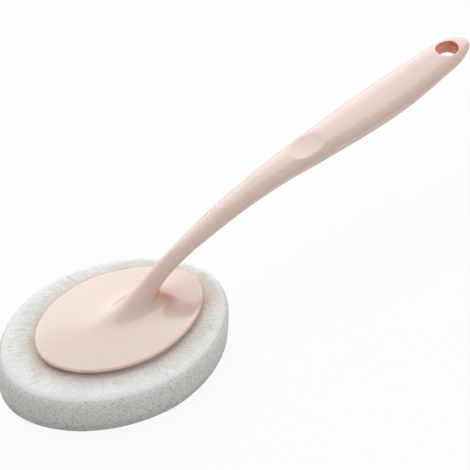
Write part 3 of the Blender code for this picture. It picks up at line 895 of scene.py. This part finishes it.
def soft_fibre(name, light, dark, roughness, sheen, speck, shadow_tone=None):
    """Matt off-white fibre or foam: no gloss, a faint bloom at grazing angles, painted shade in hollows.

    A brown tone, where one is given, paints the plate's contact shadow as a ring round it.
    """
    made = bpy.data.materials.new(name)
    tree = fresh_tree(made)
    place = node(tree, "TexCoord").outputs["Object"]
    # painted shade in hollows, with a random mottle added, darkens the colour
    painted_shade = node(tree, "Attribute", {"attribute_name": "painted_shade"}).outputs["Fac"]
    mottle = node(tree, "TexNoise", None, {"Vector": place, "Scale": 1 / speck, "Detail": 3.0})
    shift = node(tree, "MapRange", None, {
        "Value": mottle.outputs["Fac"], "From Min": MOTTLE_SPAN[0], "From Max": MOTTLE_SPAN[1],
        "To Min": 0.0, "To Max": MOTTLE_SHADE})
    depth = node(tree, "Math", {"operation": "ADD", "use_clamp": True}, {0: painted_shade, 1: shift.outputs[0]})
    tint = blend(tree, depth.outputs[0], linear(light), linear(dark))
    if shadow_tone:
        # painted contact shadow: the brown tone mixed in by each point's share
        painted_contact_shadow = node(tree, "Attribute", {"attribute_name": "painted_contact_shadow"}).outputs["Fac"]
        tint = blend(tree, painted_contact_shadow, tint, linear(shadow_tone))
    fuzz = node(tree, "Bump", None, {
        "Strength": FUZZ_STRENGTH, "Distance": FUZZ_RELIEF, "Height": mottle.outputs["Fac"]})
    shader = node(tree, "BsdfPrincipled", None, {
        "Base Color": tint, "Roughness": roughness, "Normal": fuzz.outputs[0],
        "Specular IOR Level": FIBRE_GLOSS, "Sheen Weight": sheen, "Sheen Roughness": SHEEN_ROUGHNESS})
    node(tree, "OutputMaterial", None, {"Surface": shader.outputs[0]})
    return made


def pad_piece(name, mesh, relief, tones, finish, node_name):
    """Move a layer's points along their normals by the relief and hang it in the pad.

    The tones are values per point, such as the share of painted shade in a pore, for the material.
    """
    points, normals, quads, triangles = mesh
    made, used = surface(name, points + relief[:, None] * normals, quads, triangles, finish, sharp=None)
    for tone, values in tones.items():
        add_tone(made, tone, values[used])
    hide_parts(node_name)
    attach(made, "pad")


loop_mesh = pad_layer(CORE_TOP, PAD_TOP, False, True)
points = loop_mesh[0]
bearing = np.arctan2(points[:, 1], points[:, 0])
outwards = np.hypot(points[:, 0], points[:, 1])
combed = np.column_stack([
    bearing * COMB_RADIUS / COMB_WIDTH, outwards / COMB_LENGTH, np.zeros(len(points))])
streaks = grain(combed, 1.0, STREAK_SEED)
felt = grain(points, FELT_SIZE, FELT_SEED)
relief = swelling(points) + FELT_RELIEF * felt + STREAK_RELIEF * streaks - NAP_SETTLE
# painted shade in the felt's and the streaks' low places, on a small even share
painted_shade = np.clip(NAP_SHADE_BASE - FELT_SHADE * felt - STREAK_SHADE * streaks, 0, 1)
# painted contact shadow: a brown ring along the plate's outline, fading to either side
tones = {"painted_shade": painted_shade, "painted_contact_shadow": CONTACT_SHADOW_SHARE * np.exp(-(off_plate(points) / CONTACT_SHADOW_WIDTH) ** 2)}
nap_finish = soft_fibre(
    "napped_polyester_cloth", NAP_WHITE, NAP_SHADE, NAP_ROUGHNESS, NAP_SHEEN, NAP_SPECK, NAP_SHADOW_BROWN)
pad_piece("loop_nap", loop_mesh, relief, tones, nap_finish, "loop_face")

# Loose fibres. Single hairs teased out of the nap by the hooks, standing highest beside the plate.
# Real ones are about 0.02 mm thick, too fine to show, so each stands for a small tuft.
FIBRES = 7500
FIBRE_LENGTH = (0.0025, 0.0060)
FIBRE_RADIUS = (0.000025, 0.000045)
FIBRE_RISE = (0.00005, 0.0002)
FIBRE_PRESSED = 0.00015
FIBRE_SUNK = 0.00015
FIBRE_MIDDLE = 0.05
FIBRE_EDGE = 0.0015
FIBRE_STRAY = 0.55
FIBRE_BEND = 0.22
FIBRE_ARCH = 0.8
FIBRE_TAPER = 0.6
FRINGE_RISE = 0.0011
FRINGE_WIDTH = 0.004
FIBRE_POINTS = 5
FIBRE_SEED = 7


def fibres():
    """Thin three-sided tubes that leave the nap, bow up and aside, and lie down outwards."""
    rng = np.random.default_rng(FIBRE_SEED)
    turn = rng.uniform(0, 2 * np.pi, FIBRES)
    share = np.sqrt(rng.uniform(FIBRE_MIDDLE, 1, FIBRES))
    inset = PAD_TOP_ROUND + FIBRE_EDGE
    edge = ovals(PAD_LENGTH, PAD_WIDTH, 0, inset, 0.0, PAD_POWER, PAD_EGG, turn)[0]
    root = edge[:, :2] * share[:, None]
    outward = np.arctan2(root[:, 1], root[:, 0]) + rng.normal(0, FIBRE_STRAY, FIBRES)
    length = rng.uniform(*FIBRE_LENGTH, FIBRES)
    rise = rng.uniform(*FIBRE_RISE, FIBRES)
    off = off_plate(root)
    fringe = FRINGE_RISE * rng.uniform(0, 1, FIBRES) * np.exp(-off / FRINGE_WIDTH)
    rise = np.where(off < 0, FIBRE_PRESSED, rise + fringe)
    bend = rng.normal(0, FIBRE_BEND, FIBRES)
    t = np.linspace(0, 1, FIBRE_POINTS)
    along = length[:, None] * t
    aside = length[:, None] * bend[:, None] * t ** 2
    ahead = np.stack([np.cos(outward), np.sin(outward)], -1)
    sideways = np.stack([-ahead[:, 1], ahead[:, 0]], -1)
    plan = root[:, None] + along[..., None] * ahead[:, None] + aside[..., None] * sideways[:, None]
    lift = PAD_TOP - FIBRE_SUNK + rise[:, None] * np.sin(np.pi * t) ** FIBRE_ARCH
    path = np.concatenate([plan, lift[..., None]], -1)
    thick = rng.uniform(*FIBRE_RADIUS, FIBRES)[:, None] * (1 - FIBRE_TAPER * t)
    corner = np.radians([90, 210, 330])
    across = np.concatenate([sideways, np.zeros((FIBRES, 1))], -1)[:, None, None]
    rings = path[:, :, None] + thick[..., None, None] * (
        np.cos(corner)[:, None] * across + np.sin(corner)[:, None] * np.array([0, 0, 1]))
    number = np.arange(FIBRES * FIBRE_POINTS * 3).reshape(FIBRES, FIBRE_POINTS, 3)
    triangles = np.concatenate([number[:, 0, ::-1], number[:, -1]])
    return rings.reshape(-1, 3), wrap(number[:, 1:], number[:, :-1]), triangles


loose, _ = surface("loose_fibres", *fibres(), nap_finish, sharp=None)
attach(loose, "pad")

# Foam core. The pad's thick middle, cut from open-cell foam. Its cut side shows fine cells
# with a scatter of larger pores.
FOAM_WHITE = "#ECEDE7"
# painted shade: the darker colour mixed into cells and pores
FOAM_PORE_SHADE = "#989A92"
# painted shade: share of the darker colour at the bottom of the pad's side
FOAM_LOW_SHADE = 0.30
FOAM_ROUGHNESS = 0.9
FOAM_SHEEN = 0.1
FOAM_SPECK = 0.0012
CELL_SPACING = 0.00126
CELL_RADIUS = 0.000675
CELL_CHANCE = 0.75
CELL_RELIEF = 0.00014
CELL_SHADE = 0.40
PORE_SPACING = 0.0024
PORE_RADIUS = 0.00065
PORE_CHANCE = 0.45
PORE_RELIEF = 0.00030
PORE_SHADE = 0.8
CELL_SEED, PORE_SEED = 21, 31

foam_mesh = pad_layer(SCOUR_TOP, CORE_TOP, False, False)
points = foam_mesh[0]
cells = craters(points, CELL_SPACING, CELL_RADIUS, CELL_CHANCE, CELL_SEED)
pores = craters(points, PORE_SPACING, PORE_RADIUS, PORE_CHANCE, PORE_SEED)
relief = swelling(points) - CELL_RELIEF * cells - PORE_RELIEF * pores
# painted shade: the foam's side darkens towards the bottom, where less light falls
painted_low_shade = FOAM_LOW_SHADE * (1 - points[:, 2] / CORE_TOP)
# painted shade in the cells and pores
painted_shade = np.clip(CELL_SHADE * cells + PORE_SHADE * pores + painted_low_shade, 0, 1)
foam_finish = soft_fibre(
    "open_cell_foam", FOAM_WHITE, FOAM_PORE_SHADE, FOAM_ROUGHNESS, FOAM_SHEEN, FOAM_SPECK)
pad_piece("foam_cushion", foam_mesh, relief, {"painted_shade": painted_shade}, foam_finish, "foam_core")

# Scouring face. A non-woven web of crimped nylon fibres bonded under the foam, more open
# than the foam, on which the brush stands.
WEB_GREY = "#ECEDE7"
# painted shade: the darker colour mixed in between strands and in pores
WEB_SHADE_COLOUR = "#8C8E86"
WEB_ROUGHNESS = 0.95
WEB_LAYERS = 5
WEB_TURN = 0.3
WEB_STRAND = 0.0009
WEB_RUN = 0.0065
WEB_CRIMP = 0.0006
WEB_CRIMP_RUN = 0.002
WEB_SLENDER = 3.0
WEB_RELIEF = 0.00016
WEB_SHADE = 0.25
WEB_PORE_SPACING = 0.00192
WEB_PORE_CHANCE = 0.55
WEB_PORE_RELIEF = 0.00028
STRAND_SEED, WEB_PORE_SEED = 41, 51

scour_mesh = pad_layer(0.0, SCOUR_TOP, True, False)
points, normals = scour_mesh[:2]
strands = np.zeros(len(points))
for layer in range(WEB_LAYERS):
    way = np.pi * (layer + WEB_TURN) / WEB_LAYERS
    lengthwise = points[:, 0] * np.cos(way) + points[:, 1] * np.sin(way)
    crosswise = points[:, 1] * np.cos(way) - points[:, 0] * np.sin(way)
    crimped = crosswise + WEB_CRIMP * np.sin(lengthwise / WEB_CRIMP_RUN)
    laid = np.column_stack([lengthwise / WEB_RUN, crimped / WEB_STRAND, points[:, 2] / WEB_STRAND])
    strands = np.maximum(strands, 1 - WEB_SLENDER * np.abs(grain(laid, 1.0, STRAND_SEED + layer)))
pores = craters(points, WEB_PORE_SPACING, PORE_RADIUS, WEB_PORE_CHANCE, WEB_PORE_SEED)
relief = swelling(points) - WEB_RELIEF * (1 - np.clip(strands, 0, 1)) - WEB_PORE_RELIEF * pores
# painted shade: the web keeps darkening towards the bottom
painted_low_shade = FOAM_LOW_SHADE * (1 - points[:, 2] / CORE_TOP)
# painted shade between the strands and in the pores
painted_shade = np.clip(WEB_SHADE * (1 - strands) + PORE_SHADE * pores + painted_low_shade, 0, 1)

# no strand reaches below the surface that the brush stands on
relief = np.minimum(relief, points[:, 2] / np.maximum(-normals[:, 2], 1e-9))
web_finish = soft_fibre(
    "nonwoven_nylon_web", WEB_GREY, WEB_SHADE_COLOUR, WEB_ROUGHNESS, FOAM_SHEEN, FOAM_SPECK)
pad_piece("scouring_web", scour_mesh, relief, {"painted_shade": painted_shade}, web_finish, "scouring_face")
